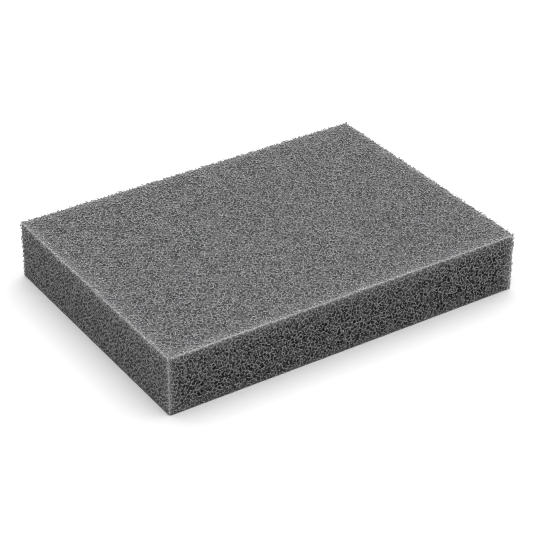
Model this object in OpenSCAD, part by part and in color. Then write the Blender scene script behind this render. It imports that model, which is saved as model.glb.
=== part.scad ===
// Open-cell foam sheet: one slab of dark grey reticulated foam, knife-cut square on all six faces.
// Millimetres, +Z up. The origin is the centre of the underside, where the sheet rests.
// The length runs along X, the width along Y and the thickness along Z.

/* [Sheet] */
// Length of the sheet, its longest side
sheet_length = 254; // [60:1:600]
// Width of the sheet
sheet_width = 185; // [40:1:450]
// Thickness of the sheet
sheet_thickness = 40; // [8:1:120]

/* [Cut edges] */
// Radius that the four upright edges have lost to rubbing and handling
upright_edge_r = 0.8; // [0.2:0.1:3]
// Radius of the eight edges round the top face and the underside
face_edge_r = 0.6; // [0.2:0.1:3]

/* [Hidden] */
foam_colour = "#5b5c5e";
edge_segments = 64;

// Rectangle centred on the origin, its corners quarter circles of radius r
module eased_rectangle(across, up, r) {
    square([across - 2 * r, up], center = true);
    square([across, up - 2 * r], center = true);
    for (x = [-1, 1], y = [-1, 1])
        translate([x * (across / 2 - r), y * (up / 2 - r)])
            circle(r = r, $fn = edge_segments);
}

// The sheet as cut through the block: its plan, with the upright edges eased
module plan_cut() {
    translate([0, 0, -sheet_thickness / 2])
        linear_extrude(height = sheet_thickness)
            eased_rectangle(sheet_length, sheet_width, upright_edge_r);
}

// Section across the width, run along the length: eases the long edges of both faces
module cross_section() {
    rotate([90, 0, 90])
        translate([0, 0, -sheet_length / 2])
            linear_extrude(height = sheet_length)
                eased_rectangle(sheet_width, sheet_thickness, face_edge_r);
}

// Section along the length, run across the width: eases the short edges of both faces
module long_section() {
    rotate([90, 0, 0])
        translate([0, 0, -sheet_width / 2])
            linear_extrude(height = sheet_width)
                eased_rectangle(sheet_length, sheet_thickness, face_edge_r);
}

// The whole sheet: one closed solid, standing on Z = 0
module foam_sheet() {
    color(foam_colour)
        translate([0, 0, sheet_thickness / 2])
            intersection() {
                plan_cut();
                cross_section();
                long_section();
            }
}

foam_sheet();
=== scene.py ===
import math
from itertools import combinations
from types import SimpleNamespace

import bpy
import numpy as np
from mathutils import Euler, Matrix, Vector
from mathutils.kdtree import KDTree


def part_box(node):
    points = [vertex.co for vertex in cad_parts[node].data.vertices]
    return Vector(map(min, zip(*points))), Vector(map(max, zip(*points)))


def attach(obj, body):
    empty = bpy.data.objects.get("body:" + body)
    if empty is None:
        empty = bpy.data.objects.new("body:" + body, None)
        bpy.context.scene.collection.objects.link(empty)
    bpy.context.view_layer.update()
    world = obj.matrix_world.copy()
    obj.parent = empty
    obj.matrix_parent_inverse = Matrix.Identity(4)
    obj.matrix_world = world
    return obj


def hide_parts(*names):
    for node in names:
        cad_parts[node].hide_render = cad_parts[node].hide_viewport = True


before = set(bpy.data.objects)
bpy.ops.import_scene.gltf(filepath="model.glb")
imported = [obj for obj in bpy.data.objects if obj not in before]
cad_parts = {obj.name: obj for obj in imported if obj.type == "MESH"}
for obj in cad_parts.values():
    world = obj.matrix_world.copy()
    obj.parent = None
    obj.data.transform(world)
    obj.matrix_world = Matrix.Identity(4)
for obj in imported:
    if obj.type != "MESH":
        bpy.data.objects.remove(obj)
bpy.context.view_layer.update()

mm = 0.001
noLength = 1e-12   # metres: less counts as no length at all
sheetNode = "foam_sheet"
sheetLow, sheetHigh = (np.array(corner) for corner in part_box(sheetNode))
sheetMiddle = (sheetLow + sheetHigh) / 2


# sRGB hex to the linear colour that a shader socket takes
def hexToLinear(code):
    parts = [int(code[i:i + 2], 16) / 255 for i in (1, 3, 5)]
    return [c / 12.92 if c <= 0.04045 else ((c + 0.055) / 1.055) ** 2.4 for c in parts] + [1.0]


# Adds one node. Settings are its own properties, and an input gets a value or a link: (node, output name)
def addNode(tree, kind, settings=None, inputs=None):
    node = tree.nodes.new(kind)
    for name, value in (settings or {}).items():
        setattr(node, name, value)
    for name, value in (inputs or {}).items():
        if isinstance(value, tuple) and isinstance(value[0], bpy.types.Node):
            tree.links.new(value[0].outputs[value[1]], node.inputs[name])
        else:
            node.inputs[name].default_value = value
    return node


def newMaterial(name):
    material = bpy.data.materials.new(name)
    material.use_nodes = True
    material.node_tree.nodes.clear()
    return material, material.node_tree


# Plain mesh object from arrays: corners as (n, 3), faces as a list of (m, 3) and (m, 4) arrays
def meshFromArrays(name, corners, faces):
    sizes = np.concatenate([np.full(len(f), f.shape[1]) for f in faces])
    loops = np.concatenate([f.ravel() for f in faces])
    mesh = bpy.data.meshes.new(name)
    mesh.vertices.add(len(corners))
    mesh.vertices.foreach_set("co", corners.astype(np.float32).ravel())
    mesh.loops.add(len(loops))
    mesh.loops.foreach_set("vertex_index", loops.astype(np.int32))
    mesh.polygons.add(len(sizes))
    mesh.polygons.foreach_set("loop_start", (np.cumsum(sizes) - sizes).astype(np.int32))
    mesh.update(calc_edges=True)
    mesh.validate()
    piece = bpy.data.objects.new(name, mesh)
    bpy.context.scene.collection.objects.link(piece)
    return piece


# Starts a geometry tree with named inputs, which say what kind of value each takes
def newGeometryTree(name, inputs):
    tree = bpy.data.node_groups.new(name, "GeometryNodeTree")
    for title, kind in inputs.items():
        tree.interface.new_socket(name=title, in_out="INPUT", socket_type=f"NodeSocket{kind}")
    tree.interface.new_socket(name="Geometry", in_out="OUTPUT", socket_type="NodeSocketGeometry")
    return tree, addNode(tree, "NodeGroupInput")


# Runs a geometry tree on an object and keeps the result as its plain mesh
def applyGeometryTree(piece, tree, values):
    modifier = piece.modifiers.new(tree.name, "NODES")
    modifier.node_group = tree
    for socket in tree.interface.items_tree:
        if socket.in_out == "INPUT" and socket.name in values:
            modifier[socket.identifier] = values[socket.name]
    seen = piece.evaluated_get(bpy.context.evaluated_depsgraph_get())
    made = bpy.data.meshes.new_from_object(seen)
    piece.modifiers.remove(modifier)
    piece.data = made
    made.name = piece.name


view = {
    "azimuth": 33.12,        # degrees that the view is turned from +Y towards +X
    "elevation": 31.59,      # degrees that the camera looks down
    "distance": 1.19900,     # metres from the aim to the camera
    "aimRight": 0.00021,     # metres that the aim lies right of the sheet's middle, in the picture
    "aimUp": -0.00739,
    "lens": 127.0,           # mm
    "sensor": 36.0,          # mm across
}


def addCamera():
    turn, tilt = math.radians(view["azimuth"]), math.radians(view["elevation"])
    ahead = Vector((math.sin(turn) * math.cos(tilt), math.cos(turn) * math.cos(tilt), -math.sin(tilt)))
    right = Vector((math.cos(turn), -math.sin(turn), 0))
    up = right.cross(ahead)
    aim = Vector(sheetMiddle) + right * view["aimRight"] + up * view["aimUp"]
    lens = bpy.data.cameras.new("camera")
    lens.lens, lens.sensor_width = view["lens"], view["sensor"]
    camera = bpy.data.objects.new("camera", lens)
    camera.location = aim - ahead * view["distance"]
    camera.rotation_euler = ahead.to_track_quat("-Z", "Y").to_euler()
    bpy.context.scene.collection.objects.link(camera)
    bpy.context.scene.camera = camera


studio = {
    "floorSide": 12.0,        # metres
    "floorGap": 0.02,         # mm under the sheet
    "floorColour": "#dddddd",
    "skyColour": "#ffffff",
    "skyStrength": 0.18,
    "keyStrength": 4.84,      # watts a square metre
    "keySpread": 100.0,       # degrees across the soft light, seen from the sheet
    "keyFrom": (0.16, 0.095, 1.0),
}


def addStudio():
    half = studio["floorSide"] / 2
    corners = np.array([(-half, -half, 0), (half, -half, 0), (half, half, 0), (-half, half, 0)])
    floor = meshFromArrays("studio_floor", corners, [np.array([[0, 1, 2, 3]])])
    floor.location.z = -studio["floorGap"] * mm
    material, tree = newMaterial("mattPaperSweep")
    shader = addNode(tree, "ShaderNodeBsdfDiffuse", inputs={"Color": hexToLinear(studio["floorColour"])})
    addNode(tree, "ShaderNodeOutputMaterial", inputs={"Surface": (shader, "BSDF")})
    floor.data.materials.append(material)

    world = bpy.data.worlds.new("studio")
    bpy.context.scene.world = world
    world.use_nodes = True
    tree = world.node_tree
    tree.nodes.clear()
    sky = addNode(tree, "ShaderNodeBackground", inputs={
        "Color": hexToLinear(studio["skyColour"]), "Strength": studio["skyStrength"]})
    addNode(tree, "ShaderNodeOutputWorld", inputs={"Surface": (sky, "Background")})

    lamp = bpy.data.lights.new("key", "SUN")
    lamp.energy, lamp.angle = studio["keyStrength"], math.radians(studio["keySpread"])
    key = bpy.data.objects.new("key", lamp)
    key.rotation_euler = Vector(studio["keyFrom"]).to_track_quat("Z", "Y").to_euler()
    bpy.context.scene.collection.objects.link(key)
    bpy.context.scene.view_settings.view_transform = "Standard"
    # struts are about a pixel wide, so the film stays sharp and the clean-up keeps them
    bpy.context.scene.cycles.filter_width = 1.0
    bpy.context.scene.cycles.denoising_prefilter = "NONE"


foam = {
    "pitch": 2.2,             # mm along the side of a cube as large as a cell
    "unevenness": 0.24,       # how far a centre strays from its even place, in pitches
    "turned": (17, 31, 8),    # degrees that the packing is turned, so that no row lines up with a cut face
    "open": 0.44,             # mm of struts that lie behind the front of the inner mass
    "strut": 0.38,            # mm from the middle of a joint to its corners
    "shortest": 0.60,         # mm between two joints, which the easing brings them to
    "ragged": (-0.20, 0.12),  # mm that a cut strut ends short of the cut face, or proud of it
    "nearest": 20,            # neighbours that a cell can share a corner with
    "checked": 44,            # neighbours that a corner has to be clear of
    "easing": 12,             # rounds of drawing short struts out
    "leastStub": 0.48,        # mm of a cut strut, under which it falls away
    "cutWithin": (0.03, 0.999),   # how far along a ridge its cut can lie, so that it never meets a joint
    "spare": 1.15,            # pitches outside the sheet, and behind the struts wanted, that have cells too
    "jointReach": 1.25,       # furthest that a joint lies from its cells' centres, in pitches
    "flat": 1e-7,             # cubic mm of the box that four centres span, under which they share no joint
    "batch": 500,             # cells worked on at once
    "jointTone": 0.5,         # shade of a joint's own faces, where struts have 0 for dark to 1 for light
    "pieces": 5,
    "seed": 23,
}
# the inner mass: a solid block where the real foam goes on open, whose painted nets and painted shade stand
# for its deeper struts
inner = {
    "inset": 0.65,            # mm from the cut faces to the front of the inner mass
    "corner": 0.6,            # mm radius of its top and upright edges
    "step": 3.6,              # mm between its mesh points
    "relief": 0.15,           # mm that its front stands out or lies back
    "reliefSize": 9.0,        # mm across a hump of it
    "skirt": 0.35,            # mm that it widens at the foot
    "skirtHeight": 3.0,
    "seed": 5,
}
# a joint has four corners, one towards each of its cells: the other three, for each of them
otherThree = np.array([[1, 2, 3], [0, 2, 3], [0, 1, 3], [0, 1, 2]])
cellBase = 2 ** 16   # more than there are cells, so that several cell numbers make one


# How far points lie behind the rounded front of the inner mass, in metres, or in front of it where negative
def behindFront(points):
    inset, corner = inner["inset"] * mm, inner["corner"] * mm
    over = np.abs(points - sheetMiddle) - ((sheetHigh - sheetLow) / 2 - inset - corner)
    over[:, 2] = points[:, 2] - (sheetHigh[2] - inset - corner)   # the foot is open
    outside = np.linalg.norm(np.clip(over, 0, None), axis=1)
    return corner - outside - np.minimum(over.max(1), 0)


# Cell centres near the cut faces: a body-centred lattice, turned and shaken
def cellCentres():
    pitch = foam["pitch"] * mm
    cube = pitch * 2 ** (1 / 3)   # a cube of the lattice holds two cells
    reach = np.linalg.norm(sheetHigh - sheetLow) / 2 + 2 * pitch
    most = math.ceil(reach / cube)
    steps = np.arange(-most, most + 1) * cube
    corner = np.stack(np.meshgrid(steps, steps, steps, indexing="ij"), -1).reshape(-1, 3)
    packed = np.concatenate([corner, corner + cube / 2])
    turn = np.array(Euler([math.radians(a) for a in foam["turned"]]).to_matrix())
    packed = packed @ turn.T + sheetMiddle
    spare = foam["spare"] * pitch
    packed = packed[np.all((packed > sheetLow - spare) & (packed < sheetHigh + spare), axis=1)]
    packed = packed[behindFront(packed) < foam["open"] * mm + spare]
    rng = np.random.default_rng(foam["seed"])
    return packed + rng.normal(0, foam["unevenness"] * pitch, packed.shape)


def nearestCells(centres, count):
    tree = KDTree(len(centres))
    for i, centre in enumerate(centres):
        tree.insert(centre, i)
    tree.balance()
    return np.array([[hit[1] for hit in tree.find_n(centre, count + 1)[1:]] for centre in centres])


# Points that lie equally far from four cells, and nearer to no other: where the foam's struts join
def cellCorners(centres):
    near = nearestCells(centres, foam["checked"])
    trio = np.array(list(combinations(range(foam["nearest"]), 3)))
    pair = np.array(list(combinations(range(foam["nearest"]), 2)))
    pairAt = {tuple(p): i for i, p in enumerate(pair)}
    firstSecond = np.array([pairAt[a, b] for a, b, c in trio])
    secondThird = np.array([pairAt[b, c] for a, b, c in trio])
    firstThird = np.array([pairAt[a, c] for a, b, c in trio])
    furthest = (foam["jointReach"] * foam["pitch"] * mm) ** 2
    quads, points = [], []
    for start in range(0, len(centres), foam["batch"]):
        own = np.arange(start, min(start + foam["batch"], len(centres)))
        away = centres[near[own]] - centres[own][:, None]
        half = (away ** 2).sum(-1) / 2
        some = away[:, :foam["nearest"]]
        cross = np.cross(some[:, pair[:, 0]], some[:, pair[:, 1]])
        volume = np.einsum("ctx,ctx->ct", cross[:, firstSecond], some[:, trio[:, 2]])
        volume[np.abs(volume) < foam["flat"] * mm ** 3] = np.nan
        point = (half[:, trio[:, 2], None] * cross[:, firstSecond]
                 + half[:, trio[:, 0], None] * cross[:, secondThird]
                 - half[:, trio[:, 1], None] * cross[:, firstThird]) / volume[..., None]
        cell, which = np.nonzero((point ** 2).sum(-1) < furthest)
        point = point[cell, which]
        over = np.einsum("sx,smx->sm", point, away[cell]) - half[cell]
        rows = np.arange(len(cell))[:, None]
        over[rows, trio[which]] = -1
        free = (over < 0).all(1)
        cell, which, point = cell[free], which[free], point[free]
        quads.append(np.sort(np.column_stack([own[cell], near[own[cell][:, None], trio[which]]]), axis=1))
        points.append(point + centres[own[cell]])
    quad, point = np.concatenate(quads), np.concatenate(points)
    code = quad.astype(np.uint64) @ np.array([cellBase ** 3, cellBase ** 2, cellBase, 1], np.uint64)
    _, first = np.unique(code, return_index=True)
    return quad[first], point[first]


# A strut runs between two joints that share three cells. A row holds each joint and the corner left out there
def strutsBetween(quad):
    base = np.array([cellBase ** 2, cellBase, 1], np.uint64)
    trioCode = np.stack([quad[:, keep].astype(np.uint64) @ base for keep in otherThree], 1).ravel()
    order = np.argsort(trioCode, kind="stable")
    same = np.nonzero(trioCode[order][1:] == trioCode[order][:-1])[0]
    a, b = order[same], order[same + 1]
    return np.column_stack([a // 4, a % 4, b // 4, b % 4])


# Eases joints apart where a strut would be too short
def easeJoints(point, strut):
    a, b = strut[:, 0], strut[:, 2]
    shortest = foam["shortest"] * mm
    for _ in range(foam["easing"]):
        along = point[b] - point[a]
        length = np.linalg.norm(along, axis=1)
        push = along * (np.clip(shortest - length, 0, None) / 2 / length)[:, None]
        for axis in range(3):
            pulled, pushed = (np.bincount(end, push[:, axis], len(point)) for end in (a, b))
            point[:, axis] += pushed - pulled
    return point


# Where each strut's middle line enters and leaves the sheet, as shares of its length, and across which axis
def crossings(start, end):
    along = end - start
    along[np.abs(along) < noLength] = noLength
    low, high = (sheetLow - start) / along, (sheetHigh - start) / along
    near, far = np.minimum(low, high), np.maximum(low, high)
    return near.max(1), near.argmax(1), far.min(1), far.argmin(1)


# Corners of the flat cut across one end of each strut: the three ridges run on to a plane near the cut face
def cutAcross(ridgeFrom, ridgeTo, axis, side, rng):
    rows = np.arange(len(axis))
    face = np.where(side > 0, sheetHigh[axis], sheetLow[axis])
    ragged = rng.uniform(*foam["ragged"], len(axis)) * mm
    ragged = np.where((axis == 2) & (side < 0), np.minimum(ragged, 0), ragged)
    plane = (face + side * ragged)[:, None]
    begins = ridgeFrom[rows, :, axis]
    rise = ridgeTo[rows, :, axis] - begins
    rise[np.abs(rise) < noLength] = noLength
    share = np.clip((plane - begins) / rise, *foam["cutWithin"])[..., None]
    return ridgeFrom + share * (ridgeTo - ridgeFrom)


# The open network, as arrays: corner points, the three corner numbers of each strut's two ends, which way
# each joint face turns, each strut's joints and which of its ends are cut
def strutNetwork():
    rng = np.random.default_rng(foam["seed"] + 1)
    centres = cellCentres()
    quad, point = cellCorners(centres)
    strut = strutsBetween(quad)
    offset = centres[quad] - point[:, None]
    offset *= foam["strut"] * mm / np.linalg.norm(offset, axis=2, keepdims=True)
    # true where the three corners that are left, in cell order, turn anticlockwise seen from outside
    facing = np.stack([np.linalg.det(offset[:, keep] - offset[:, [left]]) > 0
                       for left, keep in enumerate(otherThree)], 1)
    point = easeJoints(point, strut)

    # struts that cross the sheet and aren't wholly in its unseen middle
    enter, enterAxis, leave, leaveAxis = crossings(point[strut[:, 0]], point[strut[:, 2]])
    hidden = behindFront(point) > foam["open"] * mm
    length = np.linalg.norm(point[strut[:, 0]] - point[strut[:, 2]], axis=1)
    shown = (np.minimum(leave, 1) - np.maximum(enter, 0)) * length > foam["leastStub"] * mm
    shown &= ~(hidden[strut[:, 0]] & hidden[strut[:, 2]])
    strut, enter, leave = strut[shown], enter[shown], leave[shown]
    enterAxis, leaveAxis = enterAxis[shown], leaveAxis[shown]

    corner = (point[:, None] + offset).reshape(-1, 3)
    startAt = strut[:, [0]] * 4 + otherThree[strut[:, 1]]
    endAt = strut[:, [2]] * 4 + otherThree[strut[:, 3]]
    along = np.sign(point[strut[:, 2]] - point[strut[:, 0]]).astype(int)
    ends = ((startAt, endAt, enter > 0, enterAxis, -1), (endAt, startAt, leave < 1, leaveAxis, 1))
    cuts = []
    for at, farAt, cut, axis, outward in ends:
        rows = np.nonzero(cut)[0]
        side = outward * along[rows, axis[rows]]
        cuts.append((rows, at, cutAcross(corner[farAt[rows]], corner[at[rows]], axis[rows], side, rng)))
    for rows, at, made in cuts:
        at[rows] = len(corner) + np.arange(3 * len(rows)).reshape(-1, 3)
        corner = np.concatenate([corner, made.reshape(-1, 3)])
    proud = foam["ragged"][1] * mm
    corner = np.clip(corner, sheetLow - (proud, proud, 0), sheetHigh + proud)
    return SimpleNamespace(corner=corner, startAt=startAt, endAt=endAt, facing=facing, strut=strut,
                           cutStart=enter > 0, cutEnd=leave < 1)


# One closed mesh of some of the struts, with a triangle over every joint face that no strut leaves from
def strutPiece(name, network, some, tone):
    facing, strut = network.facing, network.strut[some]
    start, end = network.startAt[some], network.endAt[some]
    cutStart, cutEnd = network.cutStart[some], network.cutEnd[some]
    flip = ~facing[strut[:, 0], strut[:, 1]]
    start[flip], end[flip] = start[flip][:, ::-1], end[flip][:, ::-1]
    walls = [np.column_stack([start[:, i], start[:, j], end[:, j], end[:, i]])
             for i, j in ((0, 1), (1, 2), (2, 0))]
    caps = [start[cutStart][:, ::-1], end[cutEnd]]
    # joint faces with no strut
    ends = np.concatenate([strut[:, :2][~cutStart], strut[:, 2:][~cutEnd]])
    joints = np.unique(ends[:, 0])
    taken = np.zeros((len(facing), 4), bool)
    taken[ends[:, 0], ends[:, 1]] = True
    joint, left = np.nonzero(~taken[joints])
    joint = joints[joint]
    bare = joint[:, None] * 4 + otherThree[left]
    bareFlip = ~facing[joint, left]
    bare[bareFlip] = bare[bareFlip][:, ::-1]
    fours, threes = np.concatenate(walls), np.concatenate(caps + [bare])
    used, back = np.unique(np.concatenate([fours.ravel(), threes.ravel()]), return_inverse=True)
    fours, threes = back[:fours.size].reshape(-1, 4), back[fours.size:].reshape(-1, 3)
    piece = meshFromArrays(name, network.corner[used], [fours, threes])

    # what the material reads: a tone for each strut, and which faces the blade left
    own = tone[some]
    cutTone = np.concatenate([own[cutStart], own[cutEnd]])
    jointTone = np.full(len(bare), foam["jointTone"])
    addFaceValues(piece, "tone", np.concatenate([own, own, own, cutTone, jointTone]))
    blade = np.zeros(len(piece.data.polygons))
    blade[len(fours):len(fours) + len(cutTone)] = 1
    addFaceValues(piece, "blade", blade)
    layOutFaces(piece)
    return piece


def addFaceValues(piece, name, values):
    attribute = piece.data.attributes.new(name, "FLOAT", "FACE")
    attribute.data.foreach_set("value", values.astype(np.float32))


# A map for the finish with a place of its own for every face: three faces to a small square, side by side
def layOutFaces(piece):
    perSquare = 3
    gap = 0.1   # how much of its place a face leaves free at each side
    faces = len(piece.data.polygons)
    across = math.ceil(math.sqrt(math.ceil(faces / perSquare)))
    face = np.arange(faces)
    square, column = face // perSquare, face % perSquare
    sizes = np.zeros(faces, int)
    piece.data.polygons.foreach_get("loop_total", sizes)
    owner = np.repeat(face, sizes)
    turn = np.arange(len(owner)) - np.repeat(np.cumsum(sizes) - sizes, sizes)   # which corner of its face
    right = np.isin(turn, (1, 2))
    high = turn >= 2
    u = (square[owner] % across + (column[owner] + gap + (1 - 2 * gap) * right) / perSquare) / across
    v = (square[owner] // across + gap + (1 - 2 * gap) * high) / across
    layer = piece.data.uv_layers.new(name="OFBake")
    layer.data.foreach_set("uv", np.column_stack([u, v]).astype(np.float32).ravel())


# The network in pieces of as many struts each, from one end of the sheet to the other
def buildStruts(network):
    tone = np.random.default_rng(foam["seed"] + 2).uniform(0, 1, len(network.strut))
    alongSheet = network.corner[network.startAt[:, 0], 0] + network.corner[network.endAt[:, 0], 0]
    order = np.argsort(alongSheet, kind="stable")
    return [strutPiece(f"foam_struts_{i + 1}", network, np.sort(part), tone)
            for i, part in enumerate(np.array_split(order, foam["pieces"]))]


finish = {
    "darkStrut": "#6c6c6d",
    "lightStrut": "#959596",
    "cutEnd": "#969697",
    "frayed": "#e4e4e5",      # thin tips, painted pale: painted light that stands for their glow against the bright background
    "edgeLit": "#bcbcbd",      # struts near the edges, painted paler: painted light from both faces
    "edgeLitShares": ((0.75, 0.7), (0.34, 3.2)),   # most of it, at the edge, and mm to a third of that
    "backLit": "#ececec",        # the upright edge at the front right, painted palest: painted light from behind that shows through at that edge
    "backLitShares": ((1.0, 2.0),),
    "backLitInner": 0.3,         # how much of that shows further in
    "mottle": 14.0,           # mm across a lighter or darker patch of the dye
    "mottleShare": 0.07,
    "glintSpeckle": 0.9,           # mm across a lighter or darker spot along a strut: painted glints and painted shade
    "glintSpeckleShare": 0.14,
    "noiseRange": (0.25, 0.75),   # what the noise of both mostly keeps within
    "roughness": (0.38, 0.55),
    "ior": 1.5,
    "netSizes": (1.4, 1.9),   # mm across a cell of the two nets that stand for the struts deeper in
    "netWidth": (0.12, 0.31), # half width of a strut there, full and faded out, in cells
    "netSecond": 0.6,         # how strongly the further net shows
    "netShift": (0.37, 0.61, 0.13),   # cells that each net lies from the one before it
    "netBump": 0.4,           # mm that the nets stand out
    "netRoughness": 0.8,
    "netSpecular": 0.2,
    "netTop": "#606061",      # painted shade of the struts further in, by how light falls: behind the top,
    "netLong": "#4e4e4f",     # behind the long sides, which less light reaches,
    "netEnd": "#525253",      # and behind the ends
    "ground": 0.25,           # how bright the cells between them are, against those struts: painted shade
    "pit": "#040404",         # cells that are open far in, painted black as deep shade,
    "pitSize": 2.3,           # mm across them
    "pitEdge": (0.02, 0.08),  # where they begin and are full, in cells from the next one
    "pitShares": (0.4, 0.7),  # share of the cells that are fully open, and from which on the rest are closed
    "pitTop": 0.65,           # how dark they are in the top, which light reaches down into,
    "pitEnd": 0.62,           # and in the ends
    "litHole": "#8f8f90",     # cells lit from the next face, near an edge
    "litShares": ((0.5, 1.0), (0.65, 3.4)),
    "line": "#cecece",        # painted highlight: the fine bright line along an edge
    "lineShares": ((3.2, 0.48),),
    "footAway": (2.0, 1.2),   # how many times as far the underside counts, and mm added to that
}


# How far a point lies inside the nearest cut face across X, Y and Z. The underside counts as further away,
# because hardly any light gets round a bottom edge
def insideCuts(tree):
    times, further = finish["footAway"]
    spread = np.array([1, 1, times])
    place = addNode(tree, "ShaderNodeTexCoord")
    toHigh = addNode(tree, "ShaderNodeVectorMath", {"operation": "SUBTRACT"}, {
        0: sheetHigh, 1: (place, "Object")})
    toLow = addNode(tree, "ShaderNodeVectorMath", {"operation": "MULTIPLY_ADD"}, {
        0: (place, "Object"), 1: spread, 2: (0, 0, further * mm) - sheetLow * spread})
    inside = addNode(tree, "ShaderNodeVectorMath", {"operation": "MINIMUM"}, {
        0: (toHigh, "Vector"), 1: (toLow, "Vector")})
    return addNode(tree, "ShaderNodeSeparateXYZ", inputs={"Vector": (inside, "Vector")})


# Fades from its most at no distance to a third of that at each fall, and adds the pairs up
def fadeShare(tree, distance, falls):
    total = None
    for most, fall in falls:
        steps = addNode(tree, "ShaderNodeMath", {"operation": "MULTIPLY"}, {
            0: (distance, "Value"), 1: -1 / (fall * mm)})
        faded = addNode(tree, "ShaderNodeMath", {"operation": "EXPONENT"}, {0: (steps, "Value")})
        share = addNode(tree, "ShaderNodeMath", {"operation": "MULTIPLY"}, {0: (faded, "Value"), 1: most})
        total = share if total is None else addNode(tree, "ShaderNodeMath", {"operation": "ADD"}, {
            0: (total, "Value"), 1: (share, "Value")})
    return addNode(tree, "ShaderNodeMath", {"operation": "MINIMUM"}, {0: (total, "Value"), 1: 1.0})


# How near a point is to an edge of the sheet: 0 far from it, towards 1 at it
def edgeShare(tree, part, falls):
    nearSide = addNode(tree, "ShaderNodeMath", {"operation": "MINIMUM"}, {0: (part, "X"), 1: (part, "Y")})
    farSide = addNode(tree, "ShaderNodeMath", {"operation": "MAXIMUM"}, {0: (part, "X"), 1: (part, "Y")})
    sideOrTop = addNode(tree, "ShaderNodeMath", {"operation": "MINIMUM"}, {
        0: (farSide, "Value"), 1: (part, "Z")})
    second = addNode(tree, "ShaderNodeMath", {"operation": "MAXIMUM"}, {
        0: (nearSide, "Value"), 1: (sideOrTop, "Value")})
    return fadeShare(tree, second, falls)


# How near a point is to the upright edge at the front right, which is painted palest with painted light from
# behind
def backLitShare(tree):
    place = addNode(tree, "ShaderNodeTexCoord")
    offset = addNode(tree, "ShaderNodeVectorMath", {"operation": "SUBTRACT"}, {
        0: (place, "Object"), 1: (sheetHigh[0], sheetLow[1], 0)})
    size = addNode(tree, "ShaderNodeVectorMath", {"operation": "ABSOLUTE"}, {0: (offset, "Vector")})
    part = addNode(tree, "ShaderNodeSeparateXYZ", inputs={"Vector": (size, "Vector")})
    away = addNode(tree, "ShaderNodeMath", {"operation": "MAXIMUM"}, {0: (part, "X"), 1: (part, "Y")})
    return fadeShare(tree, away, finish["backLitShares"])


# Reticulated polyurethane foam, dyed grey and cut with a blade: smooth little struts that catch the light,
# each a shade lighter or darker, a little paler where cut, with painted glints, and painted light at the edges
# and tips
def strutMaterial():
    material, tree = newMaterial("reticulatedFoam")
    place = addNode(tree, "ShaderNodeTexCoord")
    tone = addNode(tree, "ShaderNodeAttribute", {"attribute_name": "tone"})
    blade = addNode(tree, "ShaderNodeAttribute", {"attribute_name": "blade"})
    frayed = addNode(tree, "ShaderNodeAttribute", {"attribute_name": "frayed"})
    inside = insideCuts(tree)
    # painted light: struts paler near the edges, as if lit from both faces
    edgeLighting = edgeShare(tree, inside, finish["edgeLitShares"])
    # painted light from behind at the upright edge at the front right
    backLighting = backLitShare(tree)
    coloured = addNode(tree, "ShaderNodeMix", {"data_type": "RGBA"}, {
        "Factor": (tone, "Fac"), "A": hexToLinear(finish["darkStrut"]),
        "B": hexToLinear(finish["lightStrut"])})
    # lighter towards the cut ends, and painted light along the edges, on the thin tips and at the front right
    # upright edge
    paler = (((blade, "Fac"), "cutEnd"), ((edgeLighting, "Value"), "edgeLit"),
             ((frayed, "Fac"), "frayed"), ((backLighting, "Value"), "backLit"))
    for share, colour in paler:
        coloured = addNode(tree, "ShaderNodeMix", {"data_type": "RGBA"}, {
            "Factor": share, "A": (coloured, "Result"), "B": hexToLinear(finish[colour])})

    least, most = finish["noiseRange"]
    shades = []
    # the dye's own mottle, and painted glints and shade along the struts
    for spots in ("mottle", "glintSpeckle"):
        size, share = finish[spots], finish[spots + "Share"]
        patches = addNode(tree, "ShaderNodeTexNoise", inputs={
            "Vector": (place, "Object"), "Scale": 1 / (size * mm), "Detail": 1.0})
        shades.append(addNode(tree, "ShaderNodeMapRange", inputs={
            "Value": (patches, "Fac"), "From Min": least, "From Max": most,
            "To Min": 1 - share, "To Max": 1 + share}))
    shade = addNode(tree, "ShaderNodeMath", {"operation": "MULTIPLY"}, {
        0: (shades[0], "Result"), 1: (shades[1], "Result")})
    colour = addNode(tree, "ShaderNodeVectorMath", {"operation": "SCALE"}, {
        "Vector": (coloured, "Result"), "Scale": (shade, "Value")})
    low, high = finish["roughness"]
    gloss = addNode(tree, "ShaderNodeMapRange", inputs={
        "Value": (tone, "Fac"), "To Min": high, "To Max": low})
    shader = addNode(tree, "ShaderNodeBsdfPrincipled", inputs={
        "Base Color": (colour, "Vector"), "Roughness": (gloss, "Result"), "IOR": finish["ior"]})
    addNode(tree, "ShaderNodeOutputMaterial", inputs={"Surface": (shader, "BSDF")})
    return material
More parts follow.
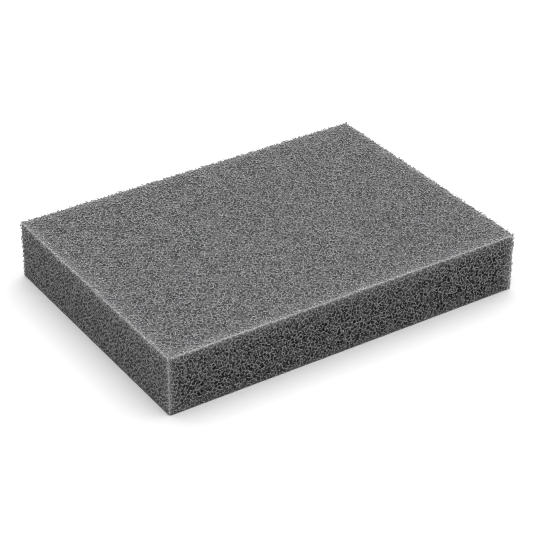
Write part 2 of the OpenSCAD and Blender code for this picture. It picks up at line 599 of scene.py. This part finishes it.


# The same foam further in, with painted shade for what is in front of it: two dim nets of struts over painted
# dark cells, and some cells that are open far in, painted black. Each net has its own map of cells, and so
# have the open ones
def innerMaterial():
    material, tree = newMaterial("shadedFoam")
    place = addNode(tree, "ShaderNodeTexCoord")
    maps, edges = [], []
    ranges = (finish["netWidth"], finish["netWidth"], finish["pitEdge"])
    for i, (across, (full, faded)) in enumerate(zip((*finish["netSizes"], finish["pitSize"]), ranges)):
        mapped = addNode(tree, "ShaderNodeMapping", inputs={
            "Vector": (place, "Object"), "Location": [i * shift for shift in finish["netShift"]],
            "Scale": [1 / (across * mm)] * 3})
        edge = addNode(tree, "ShaderNodeTexVoronoi", {"feature": "DISTANCE_TO_EDGE"}, {
            "Vector": (mapped, "Vector"), "Scale": 1.0})
        maps.append(mapped)
        edges.append(addNode(tree, "ShaderNodeMapRange", {"interpolation_type": "SMOOTHSTEP"}, {
            "Value": (edge, "Distance"), "From Min": full, "From Max": faded, "To Min": 1.0, "To Max": 0.0}))
    further = addNode(tree, "ShaderNodeMath", {"operation": "MULTIPLY"}, {
        0: (edges[1], "Result"), 1: finish["netSecond"]})
    net = addNode(tree, "ShaderNodeMath", {"operation": "MAXIMUM"}, {
        0: (edges[0], "Result"), 1: (further, "Value")})

    # painted shade: how bright it is depends on which way the face looks, for the light that reaches it
    facing = addNode(tree, "ShaderNodeNewGeometry")
    size = addNode(tree, "ShaderNodeVectorMath", {"operation": "ABSOLUTE"}, {0: (facing, "True Normal")})
    turned = addNode(tree, "ShaderNodeSeparateXYZ", inputs={"Vector": (size, "Vector")})
    beside = addNode(tree, "ShaderNodeMix", {"data_type": "RGBA"}, {
        "Factor": (turned, "X"), "A": hexToLinear(finish["netLong"]), "B": hexToLinear(finish["netEnd"])})
    behind = addNode(tree, "ShaderNodeMix", {"data_type": "RGBA"}, {
        "Factor": (turned, "Z"), "A": (beside, "Result"), "B": hexToLinear(finish["netTop"])})
    # painted shade: the cells between the nets are darker
    ground = addNode(tree, "ShaderNodeVectorMath", {"operation": "SCALE"}, {
        "Vector": (behind, "Result"), "Scale": finish["ground"]})
    closed = addNode(tree, "ShaderNodeMix", {"data_type": "RGBA"}, {
        "Factor": (net, "Value"), "A": (ground, "Vector"), "B": (behind, "Result")})

    # the open cells, painted black as deep shade, drawn by each cell's own random colour
    cells = addNode(tree, "ShaderNodeTexVoronoi", inputs={"Vector": (maps[2], "Vector"), "Scale": 1.0})
    drawn = addNode(tree, "ShaderNodeSeparateColor", inputs={"Color": (cells, "Color")})
    full, none = finish["pitShares"]
    opened = addNode(tree, "ShaderNodeMapRange", inputs={
        "Value": (drawn, "Red"), "From Min": full, "From Max": none, "To Min": 1.0, "To Max": 0.0})
    within = addNode(tree, "ShaderNodeMath", {"operation": "SUBTRACT"}, {0: 1.0, 1: (edges[2], "Result")})
    paler = addNode(tree, "ShaderNodeVectorMath", {"operation": "DOT_PRODUCT"}, {
        0: (size, "Vector"), 1: (1 - finish["pitEnd"], 0, 1 - finish["pitTop"])})
    dark = addNode(tree, "ShaderNodeMath", {"operation": "SUBTRACT"}, {0: 1.0, 1: (paler, "Value")})
    shown = addNode(tree, "ShaderNodeMath", {"operation": "MULTIPLY"}, {
        0: (within, "Value"), 1: (dark, "Value")})
    pit = addNode(tree, "ShaderNodeMath", {"operation": "MULTIPLY"}, {
        0: (opened, "Result"), 1: (shown, "Value")})

    inside = insideCuts(tree)
    # painted light: cells lit from the next face near an edge, and a painted highlight along the edge
    lit = edgeShare(tree, inside, finish["litShares"])
    line = edgeShare(tree, inside, finish["lineShares"])
    # a little of the painted light from behind at the front right upright edge, further in
    backLighting = backLitShare(tree)
    backLitIn = addNode(tree, "ShaderNodeMath", {"operation": "MULTIPLY"}, {
        0: (backLighting, "Value"), 1: finish["backLitInner"]})
    coloured = closed
    for share, colour in ((pit, "pit"), (lit, "litHole"), (line, "line"), (backLitIn, "backLit")):
        coloured = addNode(tree, "ShaderNodeMix", {"data_type": "RGBA"}, {
            "Factor": (share, "Value"), "A": (coloured, "Result"), "B": hexToLinear(finish[colour])})
    bump = addNode(tree, "ShaderNodeBump", inputs={
        "Height": (net, "Value"), "Strength": 1.0, "Distance": finish["netBump"] * mm})
    shader = addNode(tree, "ShaderNodeBsdfPrincipled", inputs={
        "Base Color": (coloured, "Result"), "Normal": (bump, "Normal"), "Roughness": finish["netRoughness"],
        "Specular IOR Level": finish["netSpecular"]})
    addNode(tree, "ShaderNodeOutputMaterial", inputs={"Surface": (shader, "BSDF")})
    return material


# Geometry tree of the inner mass: a box of fine mesh, its top and upright edges rounded and its faces humped
def innerMassTree():
    tree, given = newGeometryTree("innerMass", {
        "Size": "Vector", "Middle": "Vector", "Corner": "Float", "Step": "Float", "Relief": "Float",
        "Relief size": "Float", "Skirt": "Float", "Skirt height": "Float", "Seed": "Float",
        "Finish": "Material"})
    size = addNode(tree, "ShaderNodeSeparateXYZ", inputs={"Vector": (given, "Size")})
    counts = {}
    for axis in "XYZ":
        count = addNode(tree, "ShaderNodeMath", {"operation": "DIVIDE"}, {
        0: (size, axis), 1: (given, "Step")})
        counts[f"Vertices {axis}"] = (count, "Value")
    box = addNode(tree, "GeometryNodeMeshCube", inputs={"Size": (given, "Size"), **counts})

    # the rounded box: a point is its nearest place in a smaller box, and what is left points outwards
    place = addNode(tree, "GeometryNodeInputPosition")
    half = addNode(tree, "ShaderNodeVectorMath", {"operation": "SCALE"}, {
        "Vector": (given, "Size"), "Scale": 0.5})
    cornerAll = addNode(tree, "ShaderNodeCombineXYZ", inputs={axis: (given, "Corner") for axis in "XYZ"})
    high = addNode(tree, "ShaderNodeVectorMath", {"operation": "SUBTRACT"}, {
        0: (half, "Vector"), 1: (cornerAll, "Vector")})
    cornerSides = addNode(tree, "ShaderNodeCombineXYZ", inputs={axis: (given, "Corner") for axis in "XY"})
    spare = addNode(tree, "ShaderNodeVectorMath", {"operation": "SUBTRACT"}, {
        0: (half, "Vector"), 1: (cornerSides, "Vector")})
    low = addNode(tree, "ShaderNodeVectorMath", {"operation": "SCALE"}, {
        "Vector": (spare, "Vector"), "Scale": -1.0})
    lowered = addNode(tree, "ShaderNodeVectorMath", {"operation": "MINIMUM"}, {
        0: (place, "Position"), 1: (high, "Vector")})
    held = addNode(tree, "ShaderNodeVectorMath", {"operation": "MAXIMUM"}, {
        0: (lowered, "Vector"), 1: (low, "Vector")})
    out = addNode(tree, "ShaderNodeVectorMath", {"operation": "SUBTRACT"}, {
        0: (place, "Position"), 1: (held, "Vector")})
    outSize = addNode(tree, "ShaderNodeVectorMath", {"operation": "ABSOLUTE"}, {0: (out, "Vector")})
    part = addNode(tree, "ShaderNodeSeparateXYZ", inputs={"Vector": (outSize, "Vector")})
    wide = addNode(tree, "ShaderNodeMath", {"operation": "MAXIMUM"}, {0: (part, "X"), 1: (part, "Y")})
    most = addNode(tree, "ShaderNodeMath", {"operation": "MAXIMUM"}, {0: (wide, "Value"), 1: (part, "Z")})
    share = addNode(tree, "ShaderNodeMath", {"operation": "DIVIDE"}, {
        0: (most, "Value"), 1: (given, "Corner")})
    way = addNode(tree, "ShaderNodeVectorMath", {"operation": "NORMALIZE"}, {0: (out, "Vector")})

    # humps, and a skirt that widens towards the foot
    fine = addNode(tree, "ShaderNodeMath", {"operation": "DIVIDE"}, {0: 1.0, 1: (given, "Relief size")})
    noise = addNode(tree, "ShaderNodeTexNoise", {"noise_dimensions": "4D"}, {
        "Vector": (place, "Position"), "W": (given, "Seed"), "Scale": (fine, "Value"), "Detail": 2.0})
    swing = addNode(tree, "ShaderNodeMath", {"operation": "SUBTRACT"}, {0: (noise, "Fac"), 1: 0.5})
    hump = addNode(tree, "ShaderNodeMath", {"operation": "MULTIPLY"}, {
        0: (swing, "Value"), 1: (given, "Relief")})
    at = addNode(tree, "ShaderNodeSeparateXYZ", inputs={"Vector": (place, "Position")})
    foot = addNode(tree, "ShaderNodeSeparateXYZ", inputs={"Vector": (half, "Vector")})
    up = addNode(tree, "ShaderNodeMath", {"operation": "ADD"}, {0: (at, "Z"), 1: (foot, "Z")})
    upShare = addNode(tree, "ShaderNodeMath", {"operation": "DIVIDE"}, {
        0: (up, "Value"), 1: (given, "Skirt height")})
    skirtShare = addNode(tree, "ShaderNodeMapRange", {"interpolation_type": "SMOOTHSTEP"}, {
        "Value": (upShare, "Value"), "To Min": 1.0, "To Max": 0.0})
    skirt = addNode(tree, "ShaderNodeMath", {"operation": "MULTIPLY"}, {
        0: (skirtShare, "Result"), 1: (given, "Skirt")})
    extra = addNode(tree, "ShaderNodeMath", {"operation": "ADD"}, {0: (hump, "Value"), 1: (skirt, "Value")})
    length = addNode(tree, "ShaderNodeMath", {"operation": "ADD"}, {
        0: (given, "Corner"), 1: (extra, "Value")})
    reach = addNode(tree, "ShaderNodeMath", {"operation": "MULTIPLY"}, {
        0: (length, "Value"), 1: (share, "Value")})
    step = addNode(tree, "ShaderNodeVectorMath", {"operation": "SCALE"}, {
        "Vector": (way, "Vector"), "Scale": (reach, "Value")})
    there = addNode(tree, "ShaderNodeVectorMath", {"operation": "ADD"}, {
        0: (held, "Vector"), 1: (step, "Vector")})
    placed = addNode(tree, "ShaderNodeVectorMath", {"operation": "ADD"}, {
        0: (there, "Vector"), 1: (given, "Middle")})
    shaped = addNode(tree, "GeometryNodeSetPosition", inputs={
        "Geometry": (box, "Mesh"), "Position": (placed, "Vector")})
    real = addNode(tree, "GeometryNodeRealizeInstances", inputs={"Geometry": (shaped, "Geometry")})
    dressed = addNode(tree, "GeometryNodeSetMaterial", inputs={
        "Geometry": (real, "Geometry"), "Material": (given, "Finish")})
    addNode(tree, "NodeGroupOutput", inputs={"Geometry": (dressed, "Geometry")})
    return tree


tips = {
    "each": 4,                # frayed tips on a cut strut end near an edge of the sheet
    "edgeReach": 2.0,         # mm from an edge in which every cut end is frayed
    "faceShare": 0.25,        # share of the other cut ends with a tip
    "length": (0.08, 0.30),   # mm
    "width": 0.18,            # mm across the root
    "lean": 0.7,              # how far a tip strays from its strut's own direction
    "sunk": 0.08,             # mm of its root inside the strut
    "seed": 11,
}


# Geometry tree of the frayed tips: little three-sided spikes on points that carry the way their strut goes
def frayedTipTree():
    tree, given = newGeometryTree("frayedTips", {
        "Geometry": "Geometry", "Each": "Int", "Shortest": "Float", "Longest": "Float", "Width": "Float",
        "Lean": "Float", "Sunk": "Float", "Seed": "Int", "Finish": "Material"})
    way = addNode(tree, "GeometryNodeInputNamedAttribute", {"data_type": "FLOAT_VECTOR"}, {"Name": "way"})
    several = addNode(tree, "GeometryNodeInputNamedAttribute", {"data_type": "FLOAT"}, {"Name": "several"})
    more = addNode(tree, "ShaderNodeMath", {"operation": "MULTIPLY"}, {
        0: (several, "Attribute"), 1: (given, "Each")})
    amount = addNode(tree, "ShaderNodeMath", {"operation": "MAXIMUM"}, {0: (more, "Value"), 1: 1.0})
    copies = addNode(tree, "GeometryNodeDuplicateElements", {"domain": "POINT"}, {
        "Geometry": (given, "Geometry"), "Amount": (amount, "Value")})
    stray = addNode(tree, "FunctionNodeRandomValue", {"data_type": "FLOAT_VECTOR"}, {
        "Min": (-1, -1, -1), "Max": (1, 1, 1), "Seed": (given, "Seed")})
    bent = addNode(tree, "ShaderNodeVectorMath", {"operation": "SCALE"}, {
        "Vector": (stray, "Value"), "Scale": (given, "Lean")})
    goes = addNode(tree, "ShaderNodeVectorMath", {"operation": "ADD"}, {
        0: (way, "Attribute"), 1: (bent, "Vector")})
    turned = addNode(tree, "FunctionNodeAlignRotationToVector", {"axis": "Z"}, {"Vector": (goes, "Vector")})
    length = addNode(tree, "FunctionNodeRandomValue", {"data_type": "FLOAT"}, {
        "Min": (given, "Shortest"), "Max": (given, "Longest"), "Seed": (given, "Seed")})
    size = addNode(tree, "ShaderNodeCombineXYZ", inputs={
        "X": (given, "Width"), "Y": (given, "Width"), "Z": (length, "Value")})
    # one unit wide and long, until its size is known
    spike = addNode(tree, "GeometryNodeMeshCone", {"fill_type": "NGON"}, {
        "Vertices": 3, "Side Segments": 1, "Radius Top": 0.0, "Radius Bottom": 0.5, "Depth": 1.0})
    ahead = addNode(tree, "ShaderNodeVectorMath", {"operation": "NORMALIZE"}, {0: (goes, "Vector")})
    back = addNode(tree, "ShaderNodeMath", {"operation": "MULTIPLY"}, {0: (given, "Sunk"), 1: -1.0})
    sink = addNode(tree, "ShaderNodeVectorMath", {"operation": "SCALE"}, {
        "Vector": (ahead, "Vector"), "Scale": (back, "Value")})
    rooted = addNode(tree, "GeometryNodeSetPosition", inputs={
        "Geometry": (copies, "Geometry"), "Offset": (sink, "Vector")})
    planted = addNode(tree, "GeometryNodeInstanceOnPoints", inputs={
        "Points": (rooted, "Geometry"), "Instance": (spike, "Mesh"), "Rotation": (turned, "Rotation"),
        "Scale": (size, "Vector")})
    real = addNode(tree, "GeometryNodeRealizeInstances", inputs={"Geometry": (planted, "Instances")})
    dressed = addNode(tree, "GeometryNodeSetMaterial", inputs={
        "Geometry": (real, "Geometry"), "Material": (given, "Finish")})
    addNode(tree, "NodeGroupOutput", inputs={"Geometry": (dressed, "Geometry")})
    return tree


# Frayed tips on the cut ends: all of them near the edges of the sheet but the bottom ones, a share of the rest
def buildTips(network, material):
    start, end = network.corner[network.startAt].mean(1), network.corner[network.endAt].mean(1)
    cutStart, cutEnd = network.cutStart, network.cutEnd
    root = np.concatenate([start[cutStart], end[cutEnd]])
    way = root - np.concatenate([end[cutStart], start[cutEnd]])
    way /= np.linalg.norm(way, axis=1, keepdims=True)
    inside = np.minimum(root - sheetLow, sheetHigh - root)
    inside[:, 2] = sheetHigh[2] - root[:, 2]
    nearEdge = np.sort(inside, axis=1)[:, 1] < tips["edgeReach"] * mm
    rng = np.random.default_rng(tips["seed"])
    kept = nearEdge | (rng.uniform(0, 1, len(root)) < tips["faceShare"])
    kept &= root[:, 2] > sheetLow[2] + tips["length"][1] * mm   # none that could reach below the sheet
    piece = meshFromArrays("foam_frayed_tips", root[kept], [np.zeros((0, 3), int)])
    ways = piece.data.attributes.new("way", "FLOAT_VECTOR", "POINT")
    ways.data.foreach_set("vector", way[kept].astype(np.float32).ravel())
    several = piece.data.attributes.new("several", "FLOAT", "POINT")
    several.data.foreach_set("value", nearEdge[kept].astype(np.float32))
    applyGeometryTree(piece, frayedTipTree(), {
        "Each": tips["each"], "Shortest": tips["length"][0] * mm, "Longest": tips["length"][1] * mm,
        "Width": tips["width"] * mm, "Lean": tips["lean"], "Sunk": tips["sunk"] * mm, "Seed": tips["seed"],
        "Finish": material})
    faces = len(piece.data.polygons)
    addFaceValues(piece, "tone", np.random.default_rng(tips["seed"] + 1).uniform(0, 1, faces))
    # marks the tips, which the material paints pale with painted light
    addFaceValues(piece, "frayed", np.ones(faces))
    return piece


def buildInnerMass(material):
    low, high = sheetLow.copy(), sheetHigh - inner["inset"] * mm
    low[:2] += inner["inset"] * mm
    piece = meshFromArrays("foam_inner_mass", np.zeros((1, 3)), [np.zeros((0, 3), int)])
    applyGeometryTree(piece, innerMassTree(), {
        "Size": tuple(high - low), "Middle": tuple((low + high) / 2), "Corner": inner["corner"] * mm,
        "Step": inner["step"] * mm, "Relief": inner["relief"] * mm, "Relief size": inner["reliefSize"] * mm,
        "Skirt": inner["skirt"] * mm, "Skirt height": inner["skirtHeight"] * mm, "Seed": float(inner["seed"]),
        "Finish": material})
    piece.data.shade_smooth()
    return piece


addCamera()
addStudio()
print("camera and studio")
network = strutNetwork()
struts = buildStruts(network)
foamFinish = strutMaterial()
for piece in struts:
    piece.data.materials.append(foamFinish)
    print(piece.name, len(piece.data.polygons), "faces")
frayedTips = buildTips(network, foamFinish)
print(frayedTips.name, len(frayedTips.data.polygons), "faces")
innerMass = buildInnerMass(innerMaterial())
print(innerMass.name, len(innerMass.data.polygons), "faces")
for piece in struts + [frayedTips, innerMass]:
    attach(piece, "root")
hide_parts(sheetNode)
